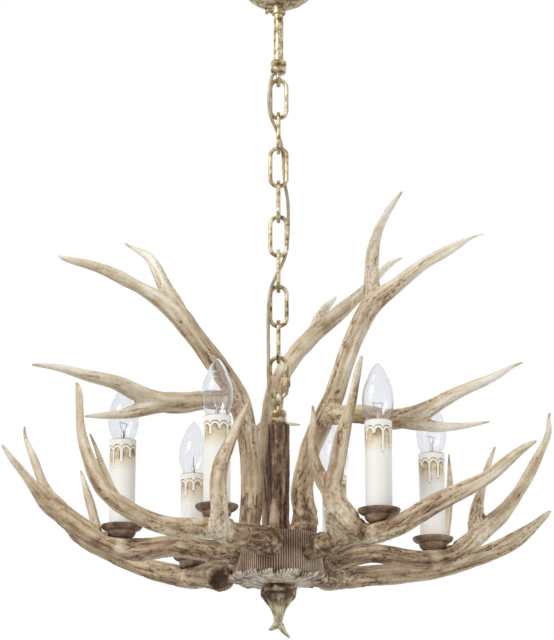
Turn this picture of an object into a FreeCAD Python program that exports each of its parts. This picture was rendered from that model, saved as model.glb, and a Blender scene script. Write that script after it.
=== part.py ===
"""Antler chandelier: six candle lights on curved antlers round a turned hub, hung on an oval chain.

Millimetres. +Z is up and the origin is the middle of the ceiling bracket's top face, at the ceiling.
+X is to the right and +Y is away from someone who stands in front of the chandelier.
"""
import FreeCAD
import Part
import math
import os

Vector = FreeCAD.Vector
UP = Vector(0, 0, 1)
os.makedirs("parts", exist_ok=True)

# ---------------------------------------------------------------- driving dimensions
# fits and clearances
seat_gap = 0.2            # between pieces that are screwed together round a curve
running_gap = 0.3         # between pieces that move on each other
screw_gap = 0.1           # round a screw in its hole

# ceiling end
bracket_length = 84.0
bracket_width = 18.0
bracket_thick = 2.5
bracket_slot_spacing = 60.0
bracket_slot_length = 9.0
bracket_slot_width = 4.6
canopy_radius = 50.0
canopy_height = 45.0
canopy_wall = 1.2
canopy_lip = 6.0          # straight rim before the bowl begins
collar_radius = 8.5
collar_height = 11.0
thumbscrew_radius = 2.0
thumbscrew_wing = 4.2
stem_radius = 5.75
stem_bore = 4.0
stem_visible = 71.0       # from the canopy's bottom to the ferrule
nut_height = 4.0
nut_across = 17.0
terminal_length = 16.0
terminal_width = 10.0
terminal_height = 14.0

# turned ferrules with eyes
ferrule_radius = 9.6
ferrule_height = 16.0
ferrule_waist = 7.6
ferrule_socket = 8.0      # how far a tube screws in
eye_radius = 7.0          # centre line of the eye
eye_wire = 2.75
eye_overlap = 2.5         # how far the eye sinks into its neck
stem_eye_neck = 0.0
column_eye_neck = 7.0

# chain
link_count = 8
link_length = 53.0
link_width = 24.0
link_wire = 2.4           # radius
quick_nut_length = 11.0
quick_nut_across = 8.5
quick_gate = 8.0          # opening in the quick link's right side

# column and hub
column_radius = 12.9
column_flutes = 15
column_flute_depth = 1.0
column_length = 133.0
pipe_radius = 5.0
pipe_bore = 3.7
hub_radius = 52.0
hub_height = 47.0
hub_seat_depth = 25.5     # the lower antlers' seats below the hub's top
hub_ribs = 44
hub_rib_depth = 1.0
hub_wall = 14.0
hub_top_thick = 10.0
block_radius = 20.0
block_height = 8.0
block_lift = 1.6          # washer under the block's nut
rosette_overhang = 4.5    # past the drum
rosette_hub_thick = 8.0
rosette_rim_thick = 2.2
rosette_petals = 14
finial_radius = 20.0
finial_burr_height = 13.0
finial_neck = 5.0

# fixings
screw_radius = 2.5
screw_head_radius = 4.5
screw_head_height = 2.5
upper_screw_length = 38.0
lower_screw_length = 34.0
upper_stand_radius = 34.0  # where the upper antlers stand on the hub
foot_radius = 11.0        # round foot of a lower antler against the drum
foot_reach = 8.0

# candles
pan_radius = 23.5
cup_radius = 16.0
cup_foot = 11.0
pan_floor = 10.0          # height of the pan's floor over the antler
pan_lip = 14.5
pan_wall = 1.6
nipple_radius = 5.0
nipple_bore = 3.5
nipple_sink = 7.0         # screwed into the antler
sleeve_radius = 14.7
sleeve_wall = 2.2
sleeve_length = 103.0
sleeve_collar_height = 8.0
sleeve_collar_proud = 0.8
sleeve_drip_count = 9
sleeve_drip_radius = 2.4
sleeve_drip_proud = 0.8
holder_radius = 12.0
holder_below_top = 10.0   # the lampholder ends this far under the sleeve's top
holder_socket = 7.2
lead_radius = 1.75
lead_bore = 3.0
lead_bend = 5.0
seat_share = 0.85         # the spot face lies at this share of the antler's radius

# bulbs
glass_radius = 17.5
glass_height = 66.0       # above the sleeve
glass_mouth = 11.0        # radius at the sleeve's top
glass_neck = 8.0          # neck below the sleeve's top
glass_neck_radius = 7.0
glass_wall = 0.8
bulb_tip_radius = 2.6
cap_radius = 6.9
cap_length = 24.0
cap_contact = 4.0

# supply flex
flex_radius = 2.0
flex_bore = 2.8
flex_exit_side = 6.0      # where it leaves a ferrule, from the axis
flex_exit_front = 2.8

# ---------------------------------------------------------------- heights that follow
link_pitch = link_length - 4 * link_wire - running_gap
stem_top = -bracket_thick - nut_height
ferrule_top = -canopy_height - stem_visible
ferrule_face = ferrule_top - ferrule_height
eye_reach = stem_eye_neck + 2 * eye_radius + eye_wire - eye_overlap   # face to the far wire's centre
stem_eye_z = ferrule_face - eye_reach
hook_step = eye_wire + link_wire + running_gap
first_link_top = stem_eye_z + hook_step          # centre of the first link's top wire
link_span = link_length - 2 * link_wire          # top wire's centre to bottom wire's centre
quick_top = first_link_top - link_count * link_pitch
quick_bottom = quick_top - link_span
column_eye_z = quick_bottom + hook_step
column_eye_reach = column_eye_neck + 2 * eye_radius + eye_wire - eye_overlap
column_face = column_eye_z - column_eye_reach
column_top = column_face - ferrule_height
hub_top = column_top - column_length
hub_middle = hub_top - hub_seat_depth
hub_bottom = hub_top - hub_height
cavity_radius = hub_radius - hub_wall
block_bottom = hub_bottom + block_lift + nut_height
block_top = block_bottom + block_height
rosette_radius = hub_radius + rosette_overhang
rosette_bottom = hub_bottom - rosette_hub_thick
pipe_bottom = rosette_bottom - 2 * nut_height
sleeve_top = pan_floor + sleeve_length

# ---------------------------------------------------------------- antlers
# Each branch is a list of (right, back, up, radius) from the antler's seat on the hub.
# The first branch is the beam, and the others are tines that spring from it.
upper_antlers = {
    "upper_antler_left": {
        "seat_angle": 199.0,
        "branches": [
            [(0, 0, -3, 13), (0, 0, 20, 13), (0, -2, 80, 12.5), (-6, -7, 127, 12.5), (-23, -16, 173, 13),
             (-45, -27, 203, 12.5), (-68, -37, 232, 12), (-89, -45, 256, 12.5), (-107, -50, 268, 10),
             (-134, -59, 281, 8), (-165, -69, 294, 7), (-195, -77, 302, 5), (-219, -83, 308, 1.2)],
            [(-79, -41, 246, 10), (-93, -39, 273, 10), (-105, -33, 298, 8), (-117, -25, 322, 6),
             (-132, -17, 335, 3.5), (-148, -7, 347, 1.2)],
            [(-17, -13, 158, 11), (-38, -23, 153, 11.5), (-62, -35, 149, 12), (-96, -55, 143, 12.5),
             (-125, -73, 148, 10.5), (-146, -87, 156, 9), (-171, -101, 160, 7.5), (-200, -115, 164, 5.5),
             (-222, -127, 166, 3.5), (-241, -137, 165, 1.2)],
            [(-90, -52, 142, 10), (-121, -67, 133, 9.5), (-141, -75, 125, 6.5), (-164, -85, 120, 4),
             (-185, -93, 117, 1.2)],
        ],
    },
    "upper_antler_right": {
        "seat_angle": 334.0,
        "branches": [
            [(-1, 0, -3, 15.5), (-1, 0, 14, 16), (-2, 0, 34, 14), (-3, -1, 58, 12.8), (2, -3, 84, 12),
             (12, -7, 114, 12.5), (25, -13, 141, 13), (36, -19, 167, 12), (46, -25, 199, 11.5),
             (57, -32, 227, 11.5), (71, -39, 254, 12.5), (89, -45, 271, 11), (112, -52, 287, 8.5),
             (148, -61, 311, 7), (179, -68, 327, 4.5), (205, -74, 335, 1.2)],
            [(66, -37, 245, 10), (76, -42, 280, 10), (77, -50, 309, 8.5), (81, -62, 334, 6.5),
             (90, -78, 353, 5), (100, -96, 365, 3.5), (110, -114, 374, 1.2)],
            [(25, -16, 142, 11), (46, -28, 134, 12), (76, -46, 128, 12), (111, -70, 120, 12),
             (134, -86, 125, 10.5), (152, -98, 133, 8.5), (172, -110, 141, 7), (194, -120, 148, 6),
             (216, -128, 157, 4), (240, -136, 167, 1.2)],
            [(100, -63, 121, 10), (129, -78, 111, 8.5), (151, -86, 106, 6), (178, -92, 106, 3.5),
             (205, -98, 109, 1.2)],
        ],
    },
    "upper_antler_back": {
        "seat_angle": 92.0,
        "branches": [
            [(-3, 0, -3, 13.5), (-5, 0, 25, 13.5), (-8, 0, 74, 13), (-9, 3, 122, 13), (-6, 9, 160, 12.5),
             (2, 16, 198, 11), (16, 24, 225, 10.5), (36, 35, 252, 11), (64, 51, 283, 10.5),
             (93, 66, 313, 8), (125, 80, 350, 5), (153, 90, 373, 1.2)],
            [(40, 38, 256, 9), (49, 71, 283, 9.5), (55, 106, 307, 7.5), (63, 146, 329, 5),
             (74, 196, 354, 1.5)],
            [(-9, 2, 110, 10), (-17, 26, 128, 10.5), (-20, 61, 146, 9.5), (-16, 106, 164, 8),
             (-4, 151, 178, 6), (11, 196, 189, 3.5), (28, 236, 198, 1.5)],
        ],
    },
}

# candle_point is the place in the beam's list where the candle stands, lead_angle and lead_z are where
# the lead's straight bore comes through the hub's inner wall, and screw_z is the screw's height there.
lower_antlers = {
    "lower_antler_left": {
        "seat_angle": 200.0, "candle_point": 4, "lead_angle": 199.0, "lead_z": 5.0, "screw_z": -4.0,
        "branches": [
            [(10, 1, 3, 13), (-18, -5, 6, 13), (-51, -9, 9, 13), (-85, -9, 9, 13), (-129, -7, 9, 13),
             (-154, -4, 20, 13), (-180, 0, 36, 13), (-203, 4, 56, 12), (-216, 8, 75, 8.5),
             (-227, 12, 101, 5.5), (-238, 16, 129, 4), (-245, 20, 157, 1.2)],
            [(-195, 3, 48, 11), (-223, -4, 71, 8.5), (-238, -8, 90, 5.5), (-253, -12, 108, 4),
             (-267, -16, 127, 1.2)],
        ],
    },
    "lower_antler_back_left": {
        "seat_angle": 135.0, "candle_point": 4, "lead_angle": 136.0, "lead_z": 5.0, "screw_z": -4.0,
        "branches": [
            [(-31, -9, -18, 15), (-31, 14, -11, 16), (-44, 45, -4, 15), (-56, 78, 1, 14), (-66, 105, 5, 14),
             (-90, 135, 14, 13.5), (-117, 151, 23, 12.5), (-144, 157, 34, 12), (-171, 157, 47, 12),
             (-195, 153, 58, 11), (-219, 145, 79, 8.5), (-238, 135, 99, 5), (-250, 127, 118, 1.2)],
            [(-36, 26, -4, 13), (-18, 14, 3, 14), (6, 0, 5, 14)],
            [(-61, 90, 3, 12), (-42, 64, 6, 12.3), (-22, 34, 7, 12.6), (0, 4, 7, 13.2)],
            [(-183, 155, 54, 7.5), (-188, 159, 85, 6.5), (-196, 163, 114, 5.5), (-202, 165, 134, 3.5),
             (-207, 167, 150, 1.2)],
        ],
    },
    "lower_antler_front_left": {
        "seat_angle": 258.0, "candle_point": 4, "lead_angle": 253.0, "lead_z": 8.0, "screw_z": -2.0,
        "branches": [
            [(12, -11, 4, 14.5), (-4, -16, 9, 15.5), (-27, -33, 12, 14), (-45, -75, 8, 13),
             (-56, -116, 3, 12.5), (-82, -133, 0, 11.5), (-114, -141, 2, 10.5), (-139, -145, 12, 10),
             (-165, -147, 28, 9.5), (-185, -145, 54, 8.5), (-197, -139, 84, 7), (-205, -129, 123, 5),
             (-211, -115, 166, 1.2)],
            [(-53, -124, -2, 11), (-52, -158, 9, 10.5), (-53, -163, 33, 10), (-52, -163, 57, 10),
             (-45, -161, 79, 8), (-35, -158, 103, 5.5), (-20, -155, 135, 1.5)],
            [(5, -16, 3, 9), (6, -17, 24, 6.5), (6, -17, 42, 5), (6, -16, 57, 2)],
            [(-18, -24, 8, 13), (-5, 6, 7, 13)],
            [(-30, -60, 6, 13), (-48, -110, 0, 12.5), (-53, -150, 6, 11)],
            [(-161, -146, 25, 6.5), (-174, -139, 53, 5), (-184, -133, 81, 3), (-194, -127, 105, 1.2)],
        ],
    },
    "lower_antler_front_right": {
        "seat_angle": 312.0, "candle_point": 4, "lead_angle": 312.0, "lead_z": 7.0, "screw_z": -3.0,
        "branches": [
            [(6, -6, 7, 15.5), (25, -19, 7, 15.5), (44, -50, 7, 14), (60, -79, 6, 12.5), (75, -103, 4, 12.5),
             (93, -119, 8, 12), (118, -131, 20, 11.5), (143, -141, 32, 11), (170, -149, 44, 9.5),
             (205, -157, 65, 7), (243, -165, 91, 1.2)],
            [(61, -86, 5, 12), (43, -91, 19, 13), (30, -89, 37, 12.5), (24, -89, 55, 11.5),
             (28, -91, 75, 10), (35, -95, 108, 9.5), (42, -99, 135, 7.5), (50, -103, 168, 5),
             (58, -107, 202, 1.2)],
            [(27, -87, 47, 10.5), (15, -83, 64, 9), (6, -79, 87, 7), (3, -75, 113, 5.5), (4, -71, 137, 3.5),
             (3, -69, 155, 1.2)],
            [(30, -45, 8, 10), (26, -62, 22, 10), (24, -78, 38, 10), (24, -88, 55, 10)],
            [(44, -55, 7, 11), (36, -75, 22, 12), (28, -88, 42, 12)],
        ],
    },
    "lower_antler_right": {
        "seat_angle": 2.0, "candle_point": 4, "lead_angle": 2.0, "lead_z": 5.0, "screw_z": -5.0,
        "branches": [
            [(-10, 0, 2, 15), (8, 0, 3, 15), (30, 4, 5, 13), (97, 17, 4, 12.5), (126, 23, 5, 12.5),
             (148, 28, 13, 12), (167, 32, 25, 12), (187, 36, 43, 12), (205, 40, 59, 10.5),
             (223, 44, 81, 8), (237, 47, 103, 7.5), (249, 50, 125, 6.5), (262, 53, 151, 4.5),
             (267, 55, 172, 3), (269, 56, 187, 1.2)],
            [(178, 34, 36, 10), (178, 37, 60, 9.5), (181, 39, 77, 7), (185, 40, 93, 5.5),
             (192, 42, 116, 4), (202, 44, 143, 1.2)],
        ],
    },
    "lower_antler_back_right": {
        "seat_angle": 40.0, "candle_point": 3, "lead_angle": 32.0, "lead_z": -3.0, "screw_z": -16.0,
        "branches": [
            [(4, 5, -7, 14.5), (11, 42, -4, 15.5), (20, 87, 0, 14.5), (28, 132, 8, 14.5), (61, 157, 15, 14),
             (108, 165, 20, 13), (157, 167, 28, 13), (191, 167, 37, 11.5), (218, 165, 46, 11),
             (240, 161, 56, 11), (261, 155, 69, 9), (278, 147, 82, 5.5), (291, 139, 93, 1.2)],
            [(154, 167, 29, 8.5), (161, 170, 54, 6.5), (166, 172, 81, 6), (169, 173, 106, 5.5),
             (171, 174, 131, 4.5), (171, 175, 150, 3), (171, 176, 172, 1.2)],
        ],
    },
}

# the flex's route past the links, as (right, back, share of the link pitch below the first link's top)
flex_weave = [
    (-9.2, -5.6, 0.03), (-11.8, -5.8, 0.42), (-11.4, -5.6, 0.86), (-8.8, -5.2, 1.18), (0.0, 0.0, 1.57),
    (5.6, 5.8, 2.05), (5.8, 5.8, 2.50), (7.4, 5.8, 2.98), (11.6, 5.6, 3.52), (11.8, 5.6, 4.22),
    (9.8, 5.9, 5.04), (0.0, 0.0, 5.56), (-9.6, -5.6, 6.08), (-12.0, -5.8, 6.58), (-12.1, -5.4, 7.22),
    (-11.6, -5.6, 7.90), (-12.0, -5.8, 8.56), (-10.2, -5.6, 9.14),
]


# ---------------------------------------------------------------- shared forms
def polar(radius, angle, z=0.0):
    turn = math.radians(angle)
    return Vector(radius * math.cos(turn), radius * math.sin(turn), z)


def cylinder(radius, start, end):
    start, end = Vector(start), Vector(end)
    return Part.makeCylinder(radius, (end - start).Length, start, end - start)


def turned(profile):
    """A solid turned about Z from an outline of (radius, z) points; a triple adds an arc's mid point."""
    edges = []
    here = None
    for point in profile:
        if len(point) == 2:
            there = Vector(point[0], 0, point[1])
            if here is not None and there.distanceToPoint(here) > 1e-6:
                edges.append(Part.LineSegment(here, there).toShape())
        else:
            mid = Vector(point[0][0], 0, point[0][1])
            there = Vector(point[1], 0, point[2])
            edges.append(Part.Arc(here, mid, there).toShape())
        here = there
    first = edges[0].Vertexes[0].Point
    if here.distanceToPoint(first) > 1e-6:
        edges.append(Part.LineSegment(here, first).toShape())
    face = Part.Face(Part.Wire(edges))
    return face.revolve(Vector(0, 0, 0), UP, 360)


def tube_along(points, radius, widest_bend=1000.0):
    """A round tube of straight runs joined by tangent arcs, each as large as its two runs allow."""
    points = [Vector(*p) for p in points]
    edges = []
    radii = []
    here = points[0]
    for before, corner, after in zip(points, points[1:], points[2:]):
        run_in, run_out = corner - before, after - corner
        turn = run_in.getAngle(run_out)
        if turn < 1e-4:
            continue
        cut = min(0.45 * min(run_in.Length, run_out.Length), widest_bend * math.tan(turn / 2))
        radii.append(cut / math.tan(turn / 2))
        a = corner - run_in.normalize() * cut
        b = corner + run_out.normalize() * cut
        inward = ((a - corner).normalize() + (b - corner).normalize()).normalize()
        middle = corner + inward * (math.hypot(cut, radii[-1]) - radii[-1])
        edges.append(Part.LineSegment(here, a).toShape())
        edges.append(Part.Arc(a, middle, b).toShape())
        here = b
    edges.append(Part.LineSegment(here, points[-1]).toShape())
    path = Part.Wire(edges)
    section = Part.Wire(Part.Circle(points[0], points[1] - points[0], radius).toShape())
    solid = path.makePipeShell([section], True, True)
    return solid, path.Length, radii


def fluted_bar(radius, flutes, depth, z_low, z_high):
    """A straight bar whose side is a ring of rounded ribs, like turned bark."""
    edges = []
    step = 360.0 / flutes
    for k in range(flutes):
        a = polar(radius - depth, k * step, z_low)
        b = polar(radius - depth, (k + 1) * step, z_low)
        crown = polar(radius, (k + 0.5) * step, z_low)
        edges.append(Part.Arc(a, crown, b).toShape())
    return Part.Face(Part.Wire(edges)).extrude(Vector(0, 0, z_high - z_low))


def hex_nut(across, height, bore, foot):
    corners = [polar(across / math.sqrt(3), 30 + 60 * k) + Vector(foot) for k in range(7)]
    body = Part.Face(Part.makePolygon(corners)).extrude(Vector(0, 0, height))
    return body.cut(cylinder(bore, foot, Vector(foot) + Vector(0, 0, height)))


def branch(points, seat):
    """A tapering beam or tine, lofted through circles that stand square to its centre line."""
    centres = [Vector(*p[:3]) + seat for p in points]
    sections = []
    across = Vector(0.3, 1.0, 0.2)
    for i, centre in enumerate(centres):
        before = centres[max(i - 1, 0)]
        after = centres[min(i + 1, len(centres) - 1)]
        along = (after - before).normalize()
        across = (across - along * across.dot(along)).normalize()
        circle = Part.Circle(Vector(0, 0, 0), UP, points[i][3]).toShape()
        turn = FreeCAD.Rotation(across, along.cross(across), along, "ZXY")
        circle.Placement = FreeCAD.Placement(centre, turn)
        sections.append(Part.Wire(circle))
    return Part.makeLoft(sections, True, False, False, 3)


def antler(branches, seat):
    beam = branch(branches[0], seat)
    return beam.fuse([branch(tine, seat) for tine in branches[1:]]).removeSplitter()


def screw(head, direction, length):
    """A countersunk wood screw, its head's face at head and its point length away."""
    direction = Vector(direction).normalize()
    neck = head + direction * screw_head_height
    tip = head + direction * length
    shank = cylinder(screw_radius, neck, tip)
    return Part.makeCone(screw_head_radius, screw_radius, screw_head_height, head, direction).fuse(shank)


def screw_hole(head, direction, length):
    direction = Vector(direction).normalize()
    far = head + direction * (length + screw_gap)
    hole = cylinder(screw_radius + screw_gap, head - direction, far)
    sink = Part.makeCone(screw_head_radius + 2 * screw_gap, screw_radius, screw_head_height + 2 * screw_gap,
                         head, direction)
    return hole.fuse(sink)


# ---------------------------------------------------------------- ceiling end
def make_ceiling_bracket():
    strap = Part.makeBox(bracket_length, bracket_width, bracket_thick,
                         Vector(-bracket_length / 2, -bracket_width / 2, -bracket_thick))
    strap = strap.cut(cylinder(pipe_radius + screw_gap, (0, 0, -bracket_thick), (0, 0, 0)))
    for side in (-1, 1):
        middle = side * bracket_slot_spacing / 2
        half = (bracket_slot_length - bracket_slot_width) / 2
        ends = [cylinder(bracket_slot_width / 2, (middle + s * half, 0, -bracket_thick),
                         (middle + s * half, 0, 0)) for s in (-1, 1)]
        slot = Part.makeBox(2 * half, bracket_slot_width, bracket_thick,
                            Vector(middle - half, -bracket_slot_width / 2, -bracket_thick))
        strap = strap.cut(slot.fuse(ends))
    return strap


def make_bracket_nipple():
    """Short threaded tube: the bracket's two nuts grip it, and the stem screws on below."""
    tube = cylinder(pipe_radius, (0, 0, stem_top - ferrule_socket), (0, 0, 0))
    return tube.cut(cylinder(pipe_bore, (0, 0, stem_top - ferrule_socket), (0, 0, 0)))


def make_bracket_nut():
    return hex_nut(nut_across, nut_height, pipe_radius, (0, 0, stem_top))


def make_terminal_block():
    """Two-way block that joins the house wires to the flex; it hangs under the bracket strap."""
    far = nut_across / 2 + 3.0
    block = Part.makeBox(terminal_length, terminal_width, terminal_height,
                         Vector(far, -terminal_width / 2, -bracket_thick - terminal_height))
    for k in (-1, 1):
        way = cylinder(terminal_width / 6, (far, k * terminal_width / 4, -bracket_thick - terminal_height / 2),
                       (far + terminal_length, k * terminal_width / 4, -bracket_thick - terminal_height / 2))
        block = block.cut(way)
    return block


def make_canopy():
    inner = canopy_radius - canopy_wall
    depth = canopy_height - canopy_lip
    hole = stem_radius + running_gap
    flat = collar_radius
    bulge = 0.72
    outside = ((canopy_radius * bulge, -canopy_lip - depth * bulge), flat, -canopy_height)
    inside = ((inner * bulge, -canopy_lip - (depth - canopy_wall) * bulge), inner, -canopy_lip)
    return turned([(inner, 0), (canopy_radius, 0), (canopy_radius, -canopy_lip), outside,
                   (hole, -canopy_height), (hole, -canopy_height + canopy_wall),
                   (flat, -canopy_height + canopy_wall), inside])


def make_canopy_collar():
    top = -canopy_height
    low = top - collar_height
    hole = stem_radius + running_gap
    ring = turned([(hole, top), (collar_radius - 1, top), (collar_radius, top - 1), (collar_radius, low + 1),
                   (collar_radius - 1, low), (hole, low)])
    middle = top - collar_height / 2
    boss = cylinder(thumbscrew_radius * 1.7, (-collar_radius - 2.0, 0, middle), (-hole - 0.5, 0, middle))
    bore = cylinder(thumbscrew_radius + 0.05, (-collar_radius - 3.0, 0, middle), (0, 0, middle))
    return ring.fuse(boss).cut(bore).cut(cylinder(hole, (0, 0, low), (0, 0, top)))


def make_collar_thumbscrew():
    """Clamps the collar on the stem: a shank with a round neck and two finger lobes."""
    middle = -canopy_height - collar_height / 2
    tip = -stem_radius - screw_gap
    shoulder = -collar_radius - 2.0 - running_gap
    shank = cylinder(thumbscrew_radius, (shoulder, 0, middle), (tip, 0, middle))
    neck = cylinder(thumbscrew_radius * 1.4, (shoulder - 4.0, 0, middle), (shoulder, 0, middle))
    lobes = []
    for side in (-1, 1):
        centre = Vector(shoulder - 3.6, 0, middle + side * thumbscrew_wing * 0.6)
        lobes.append(cylinder(thumbscrew_wing * 0.52, centre - Vector(0, 0.8, 0), centre + Vector(0, 0.8, 0)))
    return shank.fuse([neck] + lobes)


def make_stem_tube():
    low = ferrule_top - ferrule_socket
    tube = cylinder(stem_radius, (0, 0, low), (0, 0, stem_top))
    tube = tube.cut(cylinder(stem_bore, (0, 0, low), (0, 0, stem_top)))
    thread = cylinder(pipe_radius + screw_gap / 2, (0, 0, stem_top - ferrule_socket), (0, 0, stem_top))
    bend = flex_bend()
    side_hole = cylinder(flex_bore + 1.2, (0, 0, bend[1].z), bend[0])
    return tube.cut([thread, side_hole])


def flex_bend():
    """The two corners of the flex between the terminal block and the stem tube's axis."""
    x = nut_across / 2 + 7.0
    low = -bracket_thick - terminal_height - 11.0
    return Vector(x, 0, low), Vector(0, 0, low - x)


def ferrule_with_eye(tube_radius, neck):
    """Turned fitting of two beads, its face at z = 0, with a cast eye above and a tube socket below."""
    low = -ferrule_height
    middle = low / 2
    bead = ferrule_radius
    waist = ferrule_waist
    body = turned([(0, 0), (waist, 0), ((bead, middle / 2), waist, middle),
                   ((bead, middle * 1.5), waist, low), (0, low)])
    body = body.cut(cylinder(tube_radius + screw_gap / 2, (0, 0, low), (0, 0, low + ferrule_socket)))
    centre = Vector(0, 0, neck + eye_radius + eye_wire - eye_overlap)
    ring = Part.makeTorus(eye_radius, eye_wire, centre, Vector(1, 0, 0))
    stalk_top = neck + eye_wire - eye_overlap / 2
    stalk = Part.makeCone(eye_wire * 1.5, eye_wire, stalk_top + 1.0, Vector(0, 0, -1.0), UP)
    flex_hole = cylinder(flex_bore, (0, 0, low + ferrule_socket - 1.5),
                         (-flex_exit_side * 1.2, -flex_exit_front * 1.2, 2.3))
    return body.fuse([stalk, ring]).cut(flex_hole)


def make_stem_fitting():
    fitting = ferrule_with_eye(stem_radius, stem_eye_neck)
    fitting = fitting.mirror(Vector(0, 0, 0), UP)
    fitting.translate(Vector(0, 0, ferrule_face))
    return fitting


def make_column_fitting():
    fitting = ferrule_with_eye(pipe_radius, column_eye_neck)
    fitting.translate(Vector(0, 0, column_face))
    return fitting


# ---------------------------------------------------------------- chain
def oval_path(top_z, side_on):
    """The centre line of a link: two straights and two half circles."""
    bend = link_width / 2 - link_wire
    high, low = top_z - bend, top_z - link_span + bend
    a, b = Vector(-bend, 0, high), Vector(bend, 0, high)
    c, d = Vector(bend, 0, low), Vector(-bend, 0, low)
    wire = Part.Wire([
        Part.Arc(a, Vector(0, 0, top_z), b).toShape(), Part.LineSegment(b, c).toShape(),
        Part.Arc(c, Vector(0, 0, top_z - link_span), d).toShape(), Part.LineSegment(d, a).toShape()])
    if side_on:
        wire.rotate(Vector(0, 0, 0), UP, 90)
    return wire


def make_chain_link(number):
    """One link of bent wire, its butt joint half way down one side."""
    side_on = number % 2 == 0
    top_z = first_link_top - (number - 1) * link_pitch
    path = oval_path(top_z, side_on)
    start = path.Edges[0].Vertexes[0].Point
    section = Part.Wire(Part.Circle(start, UP, link_wire).toShape())
    ring = path.makePipeShell([section], True, True)
    bend = link_width / 2 - link_wire
    joint_side = Vector(0, bend, 0) if side_on else Vector(bend, 0, 0)
    middle = top_z - link_span / 2
    groove = cylinder(link_wire + 1, joint_side + Vector(0, 0, middle - 0.15),
                      joint_side + Vector(0, 0, middle + 0.15))
    core = cylinder(link_wire - 0.5, joint_side + Vector(0, 0, middle - 0.15),
                    joint_side + Vector(0, 0, middle + 0.15))
    return ring.cut(groove.cut(core))


def make_quick_link():
    """Oval link with a gate in its right side that the sleeve nut closes."""
    path = oval_path(quick_top, False)
    start = path.Edges[0].Vertexes[0].Point
    section = Part.Wire(Part.Circle(start, UP, link_wire).toShape())
    ring = path.makePipeShell([section], True, True)
    bend = link_width / 2 - link_wire
    low = quick_bottom + link_span * 0.30
    gate = cylinder(link_wire + 1, (bend, 0, low), (bend, 0, low + quick_gate))
    return ring.cut(gate)


def make_quick_link_nut():
    """Six-sided sleeve nut that bridges the gate."""
    bend = link_width / 2 - link_wire
    low = quick_bottom + link_span * 0.30 - (quick_nut_length - quick_gate) / 2
    nut = hex_nut(quick_nut_across, quick_nut_length, link_wire + running_gap, (bend, 0, low))
    rounding = Part.makeCone(quick_nut_across / 2, quick_nut_across / 2 + quick_nut_length / 2,
                             quick_nut_length / 2, Vector(bend, 0, low), UP)
    other = rounding.mirror(Vector(bend, 0, low + quick_nut_length / 2), UP)
    return nut.common(rounding.fuse(other))


# ---------------------------------------------------------------- column, hub and finial
def make_column():
    bar = fluted_bar(column_radius, column_flutes, column_flute_depth, hub_top, column_top)
    return bar.cut(cylinder(pipe_radius + screw_gap, (0, 0, hub_top), (0, 0, column_top)))


def make_lamp_pipe():
    """Threaded tube that ties fitting, column, hub and rosette together and guides the flex."""
    top = column_face - ferrule_height + ferrule_socket
    pipe = cylinder(pipe_radius, (0, 0, pipe_bottom), (0, 0, top))
    pipe = pipe.cut(cylinder(pipe_bore, (0, 0, pipe_bottom), (0, 0, top)))
    slot_top = hub_top - hub_top_thick + 3
    slot = Part.makeBox(2 * flex_bore, pipe_radius + 1, slot_top - block_top - 2,
                        Vector(-flex_bore, 0, block_top + 2))
    return pipe.cut(slot)


def make_pipe_nuts():
    under_block = hex_nut(nut_across, nut_height, pipe_radius, (0, 0, block_bottom - nut_height))
    under_rosette = hex_nut(nut_across, nut_height, pipe_radius, (0, 0, rosette_bottom - nut_height))
    return Part.makeCompound([under_block, under_rosette])


def make_junction_block():
    """Ring of insulating plastic in the hub where the six leads meet the flex."""
    edge = 1.5
    inner = pipe_radius + screw_gap
    return turned([(inner, block_bottom), (block_radius - edge, block_bottom),
                   (block_radius, block_bottom + edge), (block_radius, block_top - edge),
                   (block_radius - edge, block_top), (inner, block_top)])


def lead_corner(data):
    """Where a candle's lead turns from its nipple into the antler's straight bore."""
    x, y, z, _ = data["branches"][0][data["candle_point"]]
    return polar(hub_radius, data["seat_angle"], hub_middle) + Vector(x, y, z)


def lead_entry(data):
    return polar(cavity_radius, data["lead_angle"], hub_middle + data["lead_z"])


def lead_bore_cutter(data):
    corner, entry = lead_corner(data), lead_entry(data)
    inward = (entry - corner).normalize()
    return cylinder(lead_bore, corner, entry + inward * 3.0)


def lower_screw_head(data):
    return polar(cavity_radius, data["seat_angle"], hub_middle + data["screw_z"])


def upper_screw_head(data):
    return polar(upper_stand_radius, data["seat_angle"], hub_top - hub_top_thick)


def make_hub_drum():
    drum = fluted_bar(hub_radius, hub_ribs, hub_rib_depth, hub_bottom, hub_top)
    cuts = [cylinder(cavity_radius, (0, 0, hub_bottom), (0, 0, hub_top - hub_top_thick)),
            cylinder(pipe_radius + screw_gap, (0, 0, hub_bottom), (0, 0, hub_top))]
    for data in upper_antlers.values():
        cuts.append(screw_hole(upper_screw_head(data), UP, upper_screw_length))
    for data in lower_antlers.values():
        cuts.append(lead_bore_cutter(data))
        cuts.append(screw_hole(lower_screw_head(data), polar(1, data["seat_angle"]), lower_screw_length))
    return drum.cut(cuts)


def make_hub_rosette():
    """Ring of leaf-like petals: a shallow cone with a thin curled rim, grooved below and scalloped."""
    top = hub_bottom
    rim = rosette_radius
    hole = pipe_radius + screw_gap
    under_rim = top - rosette_rim_thick
    plate = turned([(hole, top), (hub_radius + 0.5, top), (rim - 1, top + 1.2), (rim, top - 0.3),
                    (rim - 2, under_rim), (finial_radius + 4, rosette_bottom), (hole, rosette_bottom)])
    cuts = []
    for k in range(2 * rosette_petals):
        angle = 180.0 * k / rosette_petals
        inner = polar(finial_radius + 5, angle, rosette_bottom - 0.5)
        outer = polar(rim + 2, angle, under_rim + 0.2)
        cuts.append(Part.makeCone(0.7, 1.7, (outer - inner).Length, inner, outer - inner))
        if k % 2 == 0:
            notch = polar(rim + 2.2, angle, rosette_bottom)
            cuts.append(cylinder(3.4, notch, notch + UP * (rosette_hub_thick + 3)))
    return plate.cut(cuts)


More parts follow.
